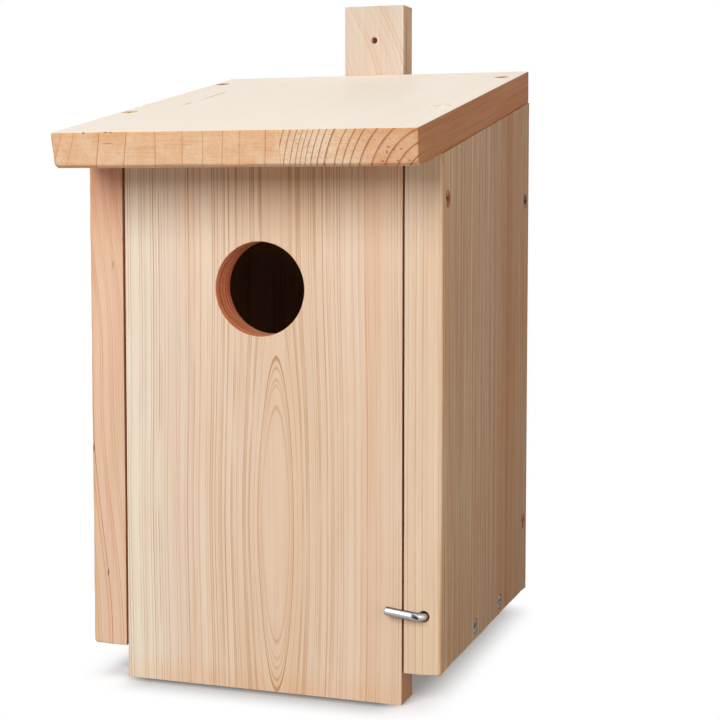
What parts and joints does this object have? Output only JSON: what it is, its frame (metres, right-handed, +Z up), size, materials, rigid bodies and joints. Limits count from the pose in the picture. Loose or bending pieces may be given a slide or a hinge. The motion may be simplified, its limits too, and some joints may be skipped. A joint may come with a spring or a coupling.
{
  "type": "starling nest box",
  "caption": "Wooden starling nest box with a sloping roof, round entrance hole, swinging cleaning door held by a turn hook, and a hanging lath.",
  "frame": {"origin": "on the floor under the middle of the whole box, roof overhang and lath included", "axes": "+Z up, the entrance hole faces -Y, the hanging lath is at +Y, +X to the right seen from the front"},
  "size_m": [0.179, 0.238, 0.3454],
  "materials": {
    "pale_softwood": "planed, untreated",
    "softwood": "planed, untreated",
    "warm_softwood": "planed, untreated",
    "yellow_zinc": "yellow zinc plated steel",
    "brown_zinc": "browned yellow zinc plated steel",
    "bright_zinc": "bright zinc plated steel"
  },
  "bodies": {
    "box": {"roof": "pale_softwood", "left_side": "warm_softwood", "right_side": "softwood", "back_panel": "softwood", "floor_panel": "warm_softwood", "hanging_lath": "softwood", "roof_screw_front_left": "yellow_zinc", "roof_screw_front_right": "yellow_zinc", "roof_screw_back_left": "brown_zinc", "roof_screw_back_right": "yellow_zinc", "back_screw_upper_left": "yellow_zinc", "back_screw_upper_right": "yellow_zinc", "back_screw_lower_left": "yellow_zinc", "back_screw_lower_right": "yellow_zinc", "floor_screw_front_left": "bright_zinc", "floor_screw_front_right": "bright_zinc", "floor_screw_back_left": "bright_zinc", "floor_screw_back_right": "bright_zinc", "lath_screw_upper": "bright_zinc", "lath_screw_middle": "bright_zinc", "lath_screw_lower": "bright_zinc"},
    "door": {"front_panel": "pale_softwood", "pivot_screw_left": "yellow_zinc", "pivot_screw_right": "yellow_zinc"},
    "hook": {"turn_hook": "bright_zinc"}
  },
  "joints": [
    {"name": "door_swing", "type": "hinge", "parent": "box", "child": "door", "pos_m": [0, -0.07128, 0.2362], "axis": [-1, 0, 0], "range_deg": [0, 95]},
    {"name": "hook_turn", "type": "hinge", "parent": "box", "child": "hook", "pos_m": [0.0812, -0.08028, 0.0431], "axis": [0, 1, 0], "range_deg": [-99, 81]}
  ]
}
